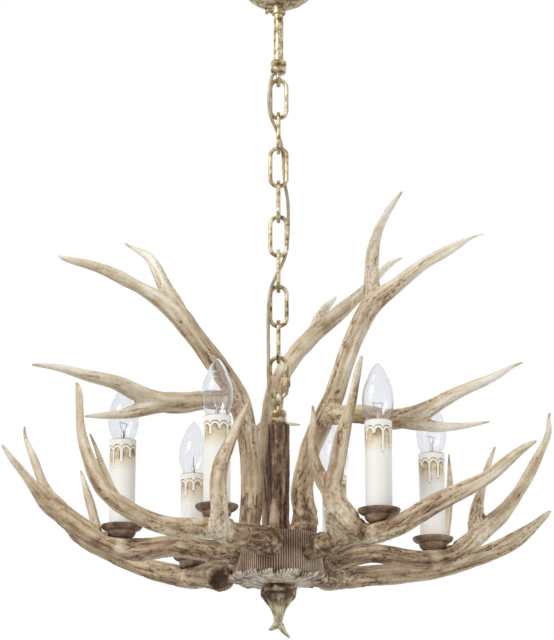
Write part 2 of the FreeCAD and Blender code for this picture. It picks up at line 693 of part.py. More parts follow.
def make_finial():
    """A burr that screws on the pipe's end, drawn out into a neck with two short tips."""
    top = rosette_bottom
    low = top - finial_burr_height
    body = turned([(0, top), (finial_radius - 4, top), ((finial_radius, top - finial_burr_height * 0.45),
                   finial_radius - 3, low), ((finial_radius * 0.62, low - 7), finial_radius * 0.42, low - 16),
                   ((finial_neck * 1.2, low - 25), finial_neck, low - 33), (0, low - 33)])
    at = Vector(0, 0, low)
    tips = [branch([(0, 0, -28, 4.5), (-3, 0, -33, 4.0), (-7, 0, -36, 2.8), (-11, -1, -37.5, 1.0)], at),
            branch([(0, 0, -28, 4.6), (3, 0, -35, 4.0), (8, 0, -42, 2.8), (13, -1, -47, 1.0)], at)]
    body = body.fuse(tips)
    thread = cylinder(pipe_radius + screw_gap / 2, (0, 0, pipe_bottom - 1), (0, 0, top))
    nut_room = cylinder(nut_across / math.sqrt(3) + running_gap, (0, 0, top - nut_height - screw_gap),
                        (0, 0, top))
    return body.cut([thread, nut_room])


# ---------------------------------------------------------------- antlers on the hub
def make_upper_antler(data):
    seat = polar(upper_stand_radius, data["seat_angle"], hub_top)
    floor = Part.makeCylinder(4 * hub_radius, 60, Vector(0, 0, hub_top - 60 + seat_gap / 2))
    column_room = cylinder(column_radius + 1.5, (0, 0, hub_top - 1), (0, 0, column_top))
    hole = screw_hole(upper_screw_head(data), UP, upper_screw_length)
    return antler(data["branches"], seat).cut([floor, column_room, hole])


def make_lower_antler(data):
    seat = polar(hub_radius, data["seat_angle"], hub_middle)
    corner = lead_corner(data)
    spot = candle_seat(data)
    drum_room = cylinder(hub_radius + seat_gap, (0, 0, hub_bottom - 60), (0, 0, hub_top + 60))
    spot_face = cylinder(cup_radius + 0.6, spot, spot + UP * pan_lip)
    rim_room = cylinder(pan_radius + 0.6, spot + UP * (pan_floor - 2 * pan_wall), spot + UP * 2 * pan_lip)
    rosette_room = cylinder(rosette_radius + 1.5, (0, 0, hub_bottom - 60), (0, 0, hub_bottom + 2.3))
    nipple_hole = cylinder(nipple_radius + screw_gap, corner - Vector(0, 0, lead_bore + 1), spot + UP)
    hole = screw_hole(lower_screw_head(data), polar(1, data["seat_angle"]), lower_screw_length)
    foot_z = hub_middle + (data["lead_z"] + data["screw_z"]) / 2
    foot = cylinder(foot_radius, polar(hub_radius - 5, data["seat_angle"], foot_z),
                    polar(hub_radius + foot_reach, data["seat_angle"], foot_z))
    whole = antler(data["branches"], seat).fuse(foot)
    return whole.cut([drum_room, rosette_room, spot_face, rim_room, nipple_hole, lead_bore_cutter(data), hole])


def make_antler_screws():
    screws = [screw(upper_screw_head(data), UP, upper_screw_length) for data in upper_antlers.values()]
    for data in lower_antlers.values():
        screws.append(screw(lower_screw_head(data), polar(1, data["seat_angle"]), lower_screw_length))
    return Part.makeCompound(screws)


# ---------------------------------------------------------------- candles
def candle_seat(data):
    """The spot face on the antler that a candle's cup stands on."""
    radius = data["branches"][0][data["candle_point"]][3]
    return lead_corner(data) + Vector(0, 0, radius * seat_share)


def make_drip_pan():
    """Spun cup with a wide dished rim."""
    w = pan_wall
    return turned([(nipple_radius + screw_gap, 0), (cup_foot, 0), ((cup_radius - 1, 3), cup_radius, pan_floor - w),
                   ((pan_radius - 3, pan_floor - w + 1), pan_radius, pan_lip - w), (pan_radius, pan_lip),
                   ((pan_radius - 3.5, pan_floor + 1), cup_radius + 1, pan_floor),
                   (nipple_radius + screw_gap, pan_floor)])


def make_candle_nipple():
    top = pan_floor + nut_height + ferrule_socket
    tube = cylinder(nipple_radius, (0, 0, -nipple_sink), (0, 0, top))
    return tube.cut(cylinder(nipple_bore, (0, 0, -nipple_sink), (0, 0, top)))


def make_candle_nut():
    return hex_nut(nut_across, nut_height, nipple_radius, (0, 0, pan_floor))


def make_lampholder():
    low = pan_floor + nut_height
    top = sleeve_top - holder_below_top
    edge = 1.0
    pocket = cap_length + glass_neck - holder_below_top + running_gap
    mouth = holder_socket
    body = turned([(0, low), (holder_radius - edge, low), (holder_radius, low + edge), (holder_radius, top - edge),
                   (holder_radius - edge, top), (mouth, top), (mouth, top - pocket), (0, top - pocket)])
    return body.cut(cylinder(nipple_radius + screw_gap / 2, (0, 0, low), (0, 0, low + ferrule_socket)))


def make_candle_sleeve():
    """Wax-look tube: a scalloped collar at the top with drips of several lengths running from it."""
    top = sleeve_top
    bore = sleeve_radius - sleeve_wall
    tube = cylinder(sleeve_radius, (0, 0, pan_floor), (0, 0, top))
    collar = cylinder(sleeve_radius + sleeve_collar_proud, (0, 0, top - sleeve_collar_height), (0, 0, top))
    parts = [collar]
    r = sleeve_drip_radius
    ring = sleeve_radius + sleeve_drip_proud - r
    for k in range(sleeve_drip_count):
        reach = sleeve_collar_height + 12 + 9 * ((k * 4) % sleeve_drip_count) / 2
        low = top - reach
        drip = turned([(0, low), ((r * 0.707, low + r * 0.293), r, low + r), (r, top - 1), (0, top - 1)])
        drip.translate(polar(ring, 360.0 * (k + 0.5) / sleeve_drip_count))
        parts.append(drip)
    return tube.fuse(parts).cut(cylinder(bore, (0, 0, pan_floor), (0, 0, top)))


def flame_outline(inset):
    """The bulb's outline from neck to tip as points of arcs: end, middle, end, middle and so on."""
    wide = glass_radius - inset
    tall = glass_height
    tip = bulb_tip_radius - inset / 2
    tip_top = sleeve_top + tall - inset
    return [(glass_neck_radius - inset, sleeve_top - glass_neck),
            (glass_neck_radius + 1.4 - inset, sleeve_top - glass_neck * 0.46),
            (glass_mouth - inset, sleeve_top), (wide * 0.906, sleeve_top + tall * 0.176),
            (wide, sleeve_top + tall * 0.364), (wide * 0.913, sleeve_top + tall * 0.557),
            (wide * 0.657, sleeve_top + tall * 0.739 - inset), (wide * 0.42, tip_top - tall * 0.115),
            (tip, tip_top - tip * 0.55)]


def make_bulb_glass():
    """Clear flame-shaped envelope, open at the neck where the cap is cemented on."""
    outer = flame_outline(0.0)
    inner = flame_outline(glass_wall)
    inner.reverse()
    profile = [outer[0]]
    for k in range(1, len(outer), 2):
        profile.append((outer[k], outer[k + 1][0], outer[k + 1][1]))
    for end, share in ((outer[-1], 1), (inner[0], -1)):
        dome = [(end[0] * 0.7, end[1] + end[0] * 0.32), (end[0] * 0.36, end[1] + end[0] * 0.49),
                (0, end[1] + end[0] * 0.55)]
        profile += dome[::share]
    profile.append(inner[0])
    for k in range(1, len(inner), 2):
        profile.append((inner[k], inner[k + 1][0], inner[k + 1][1]))
    return turned(profile)


def make_bulb_cap():
    """Screw cap with its contact, and the glass stem and filament that stand in the bulb."""
    top = sleeve_top - glass_neck
    low = top - cap_length
    shell = low + cap_contact
    thread_depth = 0.5
    turns = 6
    pitch = (top - shell - 3) / turns
    profile = [(0, low), (2.2, low), (cap_radius - 2, shell)]
    for k in range(turns):
        profile.append((cap_radius, shell + (k + 0.35) * pitch))
        profile.append((cap_radius - thread_depth, shell + (k + 0.85) * pitch))
    profile += [(cap_radius, top - 3), (cap_radius, top), (0, top)]
    cap = turned(profile)
    stem_height = glass_height * 0.30
    stem = Part.makeCone(3.4, 1.6, stem_height, Vector(0, 0, top), UP)
    mount = Vector(0, 0, top + stem_height)
    posts = []
    for side in (-1, 1):
        foot = mount + Vector(side * 1.0, 0, -2)
        head = mount + Vector(side * 6.0, 0, 9)
        posts.append(cylinder(0.45, foot, head))
    bridge = cylinder(0.4, mount + Vector(-6.0, 0, 9), mount + Vector(6.0, 0, 9))
    return cap.fuse([stem, bridge] + posts)


def make_lead(data):
    """Lead from a lampholder down its nipple, round into the antler's bore and on to the block's top."""
    head = candle_seat(data) + UP * (pan_floor + nut_height + ferrule_socket)
    entry = lead_entry(data)
    landing = polar(block_radius - 5, data["lead_angle"], block_top)
    knee = landing + UP * 9
    return tube_along([head, lead_corner(data), entry, knee, landing], lead_radius, lead_bend)[0]


# ---------------------------------------------------------------- supply flex
def straight_down(z_from, z_to, step=50.0):
    """Points down the axis, z_to left out."""
    count = math.ceil((z_from - z_to) / step)
    return [(0, 0, z_from - k * (z_from - z_to) / count) for k in range(count)]


def flex_route():
    """From the ceiling block down the stem, in and out of the links, and down the lamp pipe to the block."""
    side, front = flex_exit_side, flex_exit_front
    first, second = flex_bend()
    route = [(first.x, 0, -bracket_thick - terminal_height), tuple(first)]
    route += straight_down(second.z, ferrule_face + 8.0)
    route += [(0, 0, ferrule_face + 8.0), (-side, -front, ferrule_face - 0.8)]
    for x, y, share in flex_weave:
        route.append((x, y, first_link_top - share * link_pitch))
    route += [(-side, -front, column_face + 0.8)]
    route += straight_down(column_face - 8.0, hub_top - hub_top_thick)
    route += [(0, 0, hub_top - hub_top_thick), (0, 12.6, block_top + 11), (0, 12.6, block_top)]
    return route


def make_supply_flex():
    route = flex_route()
    solid, length, radii = tube_along(route, flex_radius)
    section = math.pi * flex_radius ** 2
    print("flex: length %.0f mm, tightest bend %.1f mm, volume over section times length %.4f"
          % (length, min(radii), solid.Volume / (section * length)))
    return solid


# ---------------------------------------------------------------- all nodes
def make_nodes():
    nodes = {
        "ceiling_bracket": make_ceiling_bracket(),
        "bracket_nipple": make_bracket_nipple(),
        "bracket_nut": make_bracket_nut(),
        "terminal_block": make_terminal_block(),
        "canopy": make_canopy(),
        "canopy_collar": make_canopy_collar(),
        "collar_thumbscrew": make_collar_thumbscrew(),
        "stem_tube": make_stem_tube(),
        "stem_fitting": make_stem_fitting(),
        "quick_link": make_quick_link(),
        "quick_link_nut": make_quick_link_nut(),
        "supply_flex": make_supply_flex(),
        "column_fitting": make_column_fitting(),
        "column": make_column(),
        "lamp_pipe": make_lamp_pipe(),
        "pipe_nuts": make_pipe_nuts(),
        "hub_drum": make_hub_drum(),
        "junction_block": make_junction_block(),
        "hub_rosette": make_hub_rosette(),
        "finial": make_finial(),
        "antler_screws": make_antler_screws(),
    }
    for number in range(1, link_count + 1):
        nodes["chain_link_%d" % number] = make_chain_link(number)
    for name, data in upper_antlers.items():
        nodes[name] = make_upper_antler(data)
    for name, data in lower_antlers.items():
        nodes[name] = make_lower_antler(data)

    pan, nipple, nut, holder = make_drip_pan(), make_candle_nipple(), make_candle_nut(), make_lampholder()
    sleeve, glass, cap = make_candle_sleeve(), make_bulb_glass(), make_bulb_cap()
    groups = {"drip_pans": [], "candle_nipples": [], "lampholders": [], "candle_leads": []}
    for number, data in enumerate(lower_antlers.values(), start=1):
        seat = candle_seat(data)

        def placed(shape):
            copy = shape.copy()
            copy.rotate(Vector(0, 0, 0), UP, 47.0 * number)
            copy.translate(seat)
            return copy

        groups["drip_pans"].append(placed(pan))
        groups["candle_nipples"] += [placed(nipple), placed(nut)]
        groups["lampholders"].append(placed(holder))
        groups["candle_leads"].append(make_lead(data))
        nodes["candle_sleeve_%d" % number] = placed(sleeve)
        nodes["bulb_glass_%d" % number] = placed(glass)
        nodes["bulb_cap_%d" % number] = placed(cap)
    for name, solids in groups.items():
        nodes[name] = Part.makeCompound(solids)
    return nodes


for node, shape in make_nodes().items():
    shape.exportStep("parts/%s.step" % node)
    if not shape.isValid() or not shape.Solids:
        print("check", node, shape.isValid(), len(shape.Solids))
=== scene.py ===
import bpy
import bmesh
import math
import numpy as np
from itertools import product
from mathutils import Matrix, Vector
from mathutils.bvhtree import BVHTree


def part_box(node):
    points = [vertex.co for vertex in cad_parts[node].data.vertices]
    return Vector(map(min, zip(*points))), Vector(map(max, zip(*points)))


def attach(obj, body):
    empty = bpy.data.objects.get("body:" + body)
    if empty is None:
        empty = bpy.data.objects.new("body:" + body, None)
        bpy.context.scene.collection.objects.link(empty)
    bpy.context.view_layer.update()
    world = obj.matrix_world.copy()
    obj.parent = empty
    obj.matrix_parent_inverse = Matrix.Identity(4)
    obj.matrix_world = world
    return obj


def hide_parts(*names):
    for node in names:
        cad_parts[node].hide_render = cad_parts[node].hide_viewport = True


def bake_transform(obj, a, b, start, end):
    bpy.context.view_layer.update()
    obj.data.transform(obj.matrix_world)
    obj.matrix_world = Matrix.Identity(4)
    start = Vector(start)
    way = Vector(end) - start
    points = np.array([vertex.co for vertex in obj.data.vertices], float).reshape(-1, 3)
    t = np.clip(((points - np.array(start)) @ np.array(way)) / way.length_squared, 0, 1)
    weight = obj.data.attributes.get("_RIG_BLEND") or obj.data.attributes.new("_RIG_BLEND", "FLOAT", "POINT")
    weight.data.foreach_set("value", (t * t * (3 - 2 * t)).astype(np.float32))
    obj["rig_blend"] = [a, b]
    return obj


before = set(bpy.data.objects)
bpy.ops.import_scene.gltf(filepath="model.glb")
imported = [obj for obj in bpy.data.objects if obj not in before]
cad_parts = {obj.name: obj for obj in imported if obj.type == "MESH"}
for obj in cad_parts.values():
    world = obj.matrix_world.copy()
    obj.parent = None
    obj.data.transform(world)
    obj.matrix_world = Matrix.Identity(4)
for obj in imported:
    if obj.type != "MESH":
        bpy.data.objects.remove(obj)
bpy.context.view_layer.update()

# ------------------------------------------------------------------ camera, room and light
# The light hangs well above the eye, so the camera looks up at it from about three metres away.
# A white room, one large soft lamp from the upper left and a weaker one from the right light it.
aim = Vector((0, 0, -0.440))
eye_distance = 3.042
eye_tilt = math.radians(15.9)
lens = bpy.data.cameras.new("eye")
lens.sensor_width = 36.0
lens.lens = 2600 * 36.0 / 640
lens.shift_x = -1.5 / 640
lens.clip_end = 50.0
eye = bpy.data.objects.new("eye", lens)
bpy.context.collection.objects.link(eye)
eye.location = aim - eye_distance * Vector((0, math.cos(eye_tilt), math.sin(eye_tilt)))
eye.rotation_euler = (math.pi / 2 + eye_tilt, 0, 0)
bpy.context.scene.camera = eye
bpy.context.scene.view_settings.view_transform = "Standard"

room = bpy.data.worlds.new("room")
bpy.context.scene.world = room
room.use_nodes = True
room_nodes, room_links = room.node_tree.nodes, room.node_tree.links
room_nodes.clear()
seen = room_nodes.new("ShaderNodeBackground")
seen.inputs["Color"].default_value = (1, 1, 1, 1)
seen.inputs["Strength"].default_value = 1.0
lit = room_nodes.new("ShaderNodeBackground")
lit.inputs["Color"].default_value = (0.96, 0.98, 1.0, 1)
lit.inputs["Strength"].default_value = 0.62
ray = room_nodes.new("ShaderNodeLightPath")
either = room_nodes.new("ShaderNodeMath")
either.operation = "MAXIMUM"
any_seen = room_nodes.new("ShaderNodeMath")
any_seen.operation = "MAXIMUM"
choose = room_nodes.new("ShaderNodeMixShader")
room_out = room_nodes.new("ShaderNodeOutputWorld")
room_links.new(ray.outputs["Is Camera Ray"], either.inputs[0])
room_links.new(ray.outputs["Is Transmission Ray"], either.inputs[1])
room_links.new(either.outputs[0], any_seen.inputs[0])
room_links.new(ray.outputs["Is Glossy Ray"], any_seen.inputs[1])
room_links.new(any_seen.outputs[0], choose.inputs[0])
room_links.new(lit.outputs[0], choose.inputs[1])
room_links.new(seen.outputs[0], choose.inputs[2])
room_links.new(choose.outputs[0], room_out.inputs["Surface"])


def soft_lamp(name, at, size, watts, tint):
    lamp = bpy.data.lights.new(name, "AREA")
    lamp.shape = "DISK"
    lamp.size = size
    lamp.energy = watts
    lamp.color = tint
    holder = bpy.data.objects.new(name, lamp)
    bpy.context.collection.objects.link(holder)
    holder.location = at
    holder.rotation_euler = (aim + Vector((0, 0, -0.15)) - Vector(at)).to_track_quat("-Z", "Y").to_euler()


soft_lamp("window", (-1.6, -1.7, 0.9), 1.0, 34, (1.0, 0.985, 0.96))
soft_lamp("bounce", (2.0, -1.2, -0.9), 1.4, 9, (1.0, 0.99, 0.97))

floor_bm = bmesh.new()
bmesh.ops.create_grid(floor_bm, x_segments=1, y_segments=1, size=9.0)
bmesh.ops.translate(floor_bm, verts=floor_bm.verts, vec=(0, 0, -3.6))
floor_mesh = bpy.data.meshes.new("floor")
floor_bm.to_mesh(floor_mesh)
floor_bm.free()
floor = bpy.data.objects.new("floor", floor_mesh)
bpy.context.collection.objects.link(floor)
floor_paint = bpy.data.materials.new("floor_paint")
floor_paint.use_nodes = True
floor_nodes, floor_links = floor_paint.node_tree.nodes, floor_paint.node_tree.links
floor_nodes["Principled BSDF"].inputs["Base Color"].default_value = (0.9, 0.9, 0.89, 1)
floor_nodes["Principled BSDF"].inputs["Roughness"].default_value = 0.7
floor_glow = floor_nodes.new("ShaderNodeEmission")
floor_glow.inputs["Color"].default_value = (1, 1, 1, 1)
floor_ray = floor_nodes.new("ShaderNodeLightPath")
floor_share = floor_nodes.new("ShaderNodeMath")
floor_share.operation = "MULTIPLY"
floor_share.inputs[1].default_value = 0.85
floor_mix = floor_nodes.new("ShaderNodeMixShader")
floor_links.new(floor_ray.outputs["Is Camera Ray"], floor_share.inputs[0])
floor_links.new(floor_share.outputs[0], floor_mix.inputs[0])
floor_links.new(floor_nodes["Principled BSDF"].outputs[0], floor_mix.inputs[1])
floor_links.new(floor_glow.outputs[0], floor_mix.inputs[2])
floor_links.new(floor_mix.outputs[0], floor_nodes["Material Output"].inputs["Surface"])
floor_mesh.materials.append(floor_paint)

# ------------------------------------------------------------------ supply flex
# Two-core flex in a clear gold sheath, 4 mm thick. It leaves the stem's fitting, is woven in and out
# of the links and goes into the column's fitting. Each length of it moves with the two links it passes,
# and the last length with the column.
flex_diameter = 0.004
flex_route = [
    (15.5, 0, -16.5), (15.5, 0, -27.5), (0, 0, -43), (0, 0, -63.3), (0, 0, -83.5), (0, 0, -103.8),
    (0, 0, -124),
    (-6, -2.8, -132.8), (-9.2, -5.6, -142.1), (-11.8, -5.8, -158.9), (-11.4, -5.6, -177.9),
    (-8.8, -5.2, -191.7), (0, 0, -208.5), (5.6, 5.8, -229.2), (5.8, 5.8, -248.6), (7.4, 5.8, -269.2),
    (11.6, 5.6, -292.5), (11.8, 5.6, -322.7), (9.8, 5.9, -358.0), (0, 0, -380.4), (-9.6, -5.6, -402.8),
    (-12, -5.8, -424.4), (-12.1, -5.4, -452.0), (-11.6, -5.6, -481.3), (-12, -5.8, -509.7),
    (-10.2, -5.6, -534.7), (-6, -2.8, -548.8), (0, 0, -557.6), (0, 0, -607), (0, 0, -657), (0, 0, -708.6),
    (0, 12.6, -721), (0, 12.6, -732),
]
swing_bodies = ["ceiling_part"] + ["link_%d" % k for k in range(1, 9)] + ["quick_link", "fixture"]
link_middles = [-0.132] + [-0.1649 - 0.0431 * k for k in range(9)]
fixture_pivot = -0.5338
flex_cuts = link_middles[1:-1] + [fixture_pivot]
past_ends = 1.0


def finish_node(tree, kind, **values):
    node = tree.nodes.new(kind)
    for key, value in values.items():
        if hasattr(node, key):
            setattr(node, key, value)
        else:
            node.inputs[key.replace("_", " ")].default_value = value
    return node


def new_finish(name, colour, roughness, metallic=0.0):
    """A material with its Principled shader, and the shader itself."""
    finish = bpy.data.materials.new(name)
    finish.use_nodes = True
    shader = finish.node_tree.nodes["Principled BSDF"]
    shader.inputs["Base Color"].default_value = (*colour, 1)
    shader.inputs["Roughness"].default_value = roughness
    shader.inputs["Metallic"].default_value = metallic
    return finish, shader


def mottle(finish, shader, scale, detail, stops, stretch=(1, 1, 1)):
    """Colour varied by noise in the object's own space: stops are (place, colour) of a ramp."""
    tree = finish.node_tree
    place = tree.nodes.new("ShaderNodeTexCoord")
    turn = tree.nodes.new("ShaderNodeMapping")
    turn.inputs["Scale"].default_value = stretch
    noise = finish_node(tree, "ShaderNodeTexNoise", Scale=scale, Detail=detail, Roughness=0.6)
    ramp = tree.nodes.new("ShaderNodeValToRGB")
    while len(ramp.color_ramp.elements) < len(stops):
        ramp.color_ramp.elements.new(0.5)
    for element, (place_at, colour) in zip(ramp.color_ramp.elements, stops):
        element.position = place_at
        element.color = (*colour, 1)
    tree.links.new(place.outputs["Object"], turn.inputs["Vector"])
    tree.links.new(turn.outputs["Vector"], noise.inputs["Vector"])
    tree.links.new(noise.outputs["Fac"], ramp.inputs["Fac"])
    tree.links.new(ramp.outputs["Color"], shader.inputs["Base Color"])


def roughen(finish, shader, scale, depth, low, high, stretch=(1, 1, 1), detail=4.0):
    """Fine bump and an uneven gloss from one noise."""
    tree = finish.node_tree
    place = tree.nodes.new("ShaderNodeTexCoord")
    turn = tree.nodes.new("ShaderNodeMapping")
    turn.inputs["Scale"].default_value = stretch
    noise = finish_node(tree, "ShaderNodeTexNoise", Scale=scale, Detail=detail, Roughness=0.6)
    spread = finish_node(tree, "ShaderNodeMapRange")
    spread.inputs["From Min"].default_value = 0.3
    spread.inputs["From Max"].default_value = 0.7
    spread.inputs["To Min"].default_value = low
    spread.inputs["To Max"].default_value = high
    bump = tree.nodes.new("ShaderNodeBump")
    bump.inputs["Strength"].default_value = 1.0
    bump.inputs["Distance"].default_value = depth
    tree.links.new(place.outputs["Object"], turn.inputs["Vector"])
    tree.links.new(turn.outputs["Vector"], noise.inputs["Vector"])
    tree.links.new(noise.outputs["Fac"], spread.inputs["Value"])
    tree.links.new(spread.outputs["Result"], shader.inputs["Roughness"])
    tree.links.new(noise.outputs["Fac"], bump.inputs["Height"])
    tree.links.new(bump.outputs["Normal"], shader.inputs["Normal"])


def smooth(mesh):
    for polygon in mesh.polygons:
        polygon.use_smooth = True


def link_object(name, data):
    piece = bpy.data.objects.new(name, data)
    bpy.context.collection.objects.link(piece)
    return piece


def applied(piece):
    """The piece's mesh with its modifiers or its curve's thickness worked in."""
    graph = bpy.context.evaluated_depsgraph_get()
    return bpy.data.meshes.new_from_object(piece.evaluated_get(graph), depsgraph=graph)


flex_sheath, flex_shader = new_finish("flex_sheath", (0.42, 0.34, 0.20), 0.28)
mottle(flex_sheath, flex_shader, 240, 3, [(0.35, (0.30, 0.22, 0.11)), (0.55, (0.47, 0.39, 0.24)),
                                          (0.75, (0.62, 0.55, 0.40))], (1, 1, 0.25))
flex_shader.inputs["Coat Weight"].default_value = 0.6
flex_shader.inputs["Coat Roughness"].default_value = 0.12
route_curve = bpy.data.curves.new("flex_line", "CURVE")
route_curve.dimensions = "3D"
route_curve.resolution_u = 12
line = route_curve.splines.new("NURBS")
line.points.add(len(flex_route) - 1)
for point, place in zip(line.points, flex_route):
    point.co = (place[0] / 1000, place[1] / 1000, place[2] / 1000, 1)
line.order_u = 3
line.use_endpoint_u = True
route_object = link_object("flex_line", route_curve)
route_mesh = applied(route_object)
walk = [vertex.co.copy() for vertex in route_mesh.vertices]
bpy.data.objects.remove(route_object)

for k in range(len(swing_bodies) - 1):
    high = flex_cuts[k - 1] if k else past_ends
    low = flex_cuts[k] if k < len(flex_cuts) else -past_ends
    inside = [i for i, p in enumerate(walk) if low <= p.z <= high]
    first, last = inside[0], inside[-1]
    run = [walk[i] for i in range(first, last + 1)]
    if first > 0:
        share = (high - walk[first].z) / (walk[first - 1].z - walk[first].z)
        run.insert(0, walk[first].lerp(walk[first - 1], share))
    if last < len(walk) - 1:
        share = (walk[last].z - low) / (walk[last].z - walk[last + 1].z)
        run.append(walk[last].lerp(walk[last + 1], share))
    tube = bpy.data.curves.new("flex_tube", "CURVE")
    tube.dimensions = "3D"
    tube.bevel_depth = flex_diameter / 2
    tube.bevel_resolution = 5
    tube.use_fill_caps = True
    strand = tube.splines.new("POLY")
    strand.points.add(len(run) - 1)
    for point, place in zip(strand.points, run):
        point.co = (*place, 1)
    tube_object = link_object("flex_tube", tube)
    mesh = applied(tube_object)
    bpy.data.objects.remove(tube_object)
    smooth(mesh)
    mesh.materials.clear()
    mesh.materials.append(flex_sheath)
    piece = link_object("flex_%d" % k, mesh)
    if k < len(flex_cuts):
        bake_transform(piece, swing_bodies[k + 1], swing_bodies[k], start=(0, 0, link_middles[k + 1]),
                 end=(0, 0, link_middles[k]))
    else:
        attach(piece, "fixture")
    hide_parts("supply_flex")

# ------------------------------------------------------------------ canopy, collar, stem and chain
# Pressed and turned steel in an aged gold finish: brown is left in the hollows and the edges are rubbed
# pale. The stem screws into a cast fitting whose eye carries eight bent links and a screw link.
aged_gold, gold_shader = new_finish("aged_gold", (0.45, 0.36, 0.23), 0.4, 0.55)
mottle(aged_gold, gold_shader, 150, 6, [(0.32, (0.09, 0.05, 0.02)), (0.44, (0.36, 0.26, 0.13)),
                                        (0.56, (0.62, 0.52, 0.34)), (0.74, (0.86, 0.82, 0.70))])
roughen(aged_gold, gold_shader, 900, 0.0001, 0.25, 0.55)


def dressed(node, finish):
    """A smooth copy of a CAD solid that stands for it, in the given finish."""
    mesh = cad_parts[node].data.copy()
    work = bmesh.new()
    work.from_mesh(mesh)
    bmesh.ops.remove_doubles(work, verts=work.verts, dist=2e-6)
    work.to_mesh(mesh)
    work.free()
    for name in [a.name for a in mesh.attributes if a.name in ("sharp_face", "custom_normal")]:
        mesh.attributes.remove(mesh.attributes[name])
    smooth(mesh)
    mesh.set_sharp_from_angle(angle=math.radians(32))
    mesh.materials.clear()
    mesh.materials.append(finish)
    return link_object(node + "_skin", mesh)


def put_on(piece, body, slot, *nodes):
    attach(piece, body)
    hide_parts(*nodes)


for node, body in [("canopy", "canopy"), ("canopy_collar", "collar"), ("collar_thumbscrew", "thumbscrew"),
                   ("stem_tube", "ceiling_part"), ("stem_fitting", "ceiling_part"),
                   ("quick_link", "quick_link"), ("quick_link_nut", "quick_link_nut"),
                   ("column_fitting", "fixture")]:
    put_on(dressed(node, aged_gold), body, "aged_metal", node)
for k in range(1, 9):
    put_on(dressed("chain_link_%d" % k, aged_gold), "link_%d" % k, "aged_metal", "chain_link_%d" % k)

# ------------------------------------------------------------------ ceiling bracket and its fixings
# Zinc-plated strap, nipple and nut, and a white two-way block. They stay hidden in the canopy until
# it is let down the stem.
zinc, zinc_shader = new_finish("zinc", (0.55, 0.55, 0.56), 0.35, 0.9)
mottle(zinc, zinc_shader, 150, 3, [(0.3, (0.42, 0.42, 0.44)), (0.7, (0.66, 0.66, 0.66))])
roughen(zinc, zinc_shader, 700, 0.00006, 0.25, 0.45)
white_plastic, white_shader = new_finish("white_plastic", (0.80, 0.80, 0.77), 0.45)
roughen(white_plastic, white_shader, 500, 0.00005, 0.40, 0.50)
for node in ("ceiling_bracket", "bracket_nipple", "bracket_nut"):
    put_on(dressed(node, zinc), "ceiling_part", "zinc_steel", node)
put_on(dressed("terminal_block", white_plastic), "ceiling_part", "block_plastic", "terminal_block")

# ------------------------------------------------------------------ antlers
# Cast resin antlers: long grooves and dark cracks run down each beam, brown stain sits in them and near
# the hub, and the tines are rubbed pale towards their tips. Webs at the forks are pale and pitted, and
# the roots carry knobbed burrs. Each skin is carved on its CAD solid's own shape.
antler_voxel = 0.0012
broad_depth = 0.0008
fine_depth = 0.0003
crack_depth = 0.0006
# burr and web places: node, centre in mm, reach, height of the lumps, their size, paler (+) or redder (-)
rough_places = [
    ("lower_antler_front_left", (-64, -188, -712), 46, 0.9, 3.2, 0.22),
    ("lower_antler_front_left", (-14, -64, -720), 26, 1.0, 4.0, 0.0),
    ("lower_antler_front_right", (63, -118, -694), 40, 0.9, 3.2, 0.26),
    ("lower_antler_front_right", (52, -60, -708), 26, 1.6, 6.0, 0.02),
    ("lower_antler_right", (228, 38, -682), 34, 0.7, 3.0, 0.22),
    ("lower_antler_back_left", (-50, 48, -730), 34, 0.9, 4.0, -0.02),
    ("upper_antler_right", (30, -14, -680), 36, 2.4, 6.5, 0.0),
    ("upper_antler_left", (-32, -10, -692), 18, 1.2, 5.0, 0.0),
]
# straight runs of the leads in the lower antlers, in mm; the resin swells a little round each
swell_radius = 0.0045
lead_runs = {
    "lower_antler_left": ((-160.8, -23.3, -715.6), (-55.2, -14.1, -718.6)),
    "lower_antler_back_left": ((-93.7, 127.9, -719.1), (-37.9, 42.6, -719.1)),
    "lower_antler_front_left": ((-60.1, -151.2, -720.5), (-18.6, -53.9, -716.8)),
    "lower_antler_front_right": ((99.7, -128.0, -719.7), (36.8, -43.5, -717.5)),
    "lower_antler_right": ((161.2, 22.0, -719.1), (56.8, 4.5, -719.1)),
    "lower_antler_back_right": ((63.6, 148.0, -717.4), (37.8, 42.7, -725.4)),
}
# the back left antler's root ends in a cut face with a hollow; the hollow is also painted darker, as painted
# shade
hollow_end = ("lower_antler_back_left", (-67.8, 27.8, -742.1))
hollow_way = np.array((0.0, -0.96, -0.28))
hollow_radius = 0.0118
hollow_depth = 0.006


def lattice_noise(points, size, seed):
    """Smooth value noise from 0 to 1 at many points at once."""
    place = points / size
    cell = np.floor(place).astype(np.int64)
    part = place - cell
    part = part * part * (3 - 2 * part)
    total = np.zeros(len(points))
    for corner in product((0, 1), repeat=3):
        c = cell + np.array(corner)
        mixed = (c[:, 0] * 73856093) ^ (c[:, 1] * 19349663) ^ (c[:, 2] * 83492791) ^ (seed * 2654435761)
        mixed = (mixed * 2654435761) & 0xFFFFFFFF
        mixed = ((mixed >> 15) ^ mixed) * 2246822519 & 0xFFFFFFFF
        value = ((mixed >> 13) ^ mixed) / 4294967295.0
        weight = np.prod(np.where(np.array(corner), part, 1 - part), axis=1)
        total += weight * value
    return total


def read(mesh, what):
    values = np.empty(len(mesh.vertices) * 3)
    if what == "normal":
        mesh.vertex_normals.foreach_get("vector", values)
    else:
        mesh.vertices.foreach_get(what, values)
    return values.reshape(-1, 3)


def edge_ends(mesh):
    """Both ends of every edge, and for each vertex one more than its number of neighbours."""
    ends = np.empty(2 * len(mesh.edges), int)
    mesh.edges.foreach_get("vertices", ends)
    return ends.reshape(-1, 2), 1 + np.bincount(ends, minlength=len(mesh.vertices))


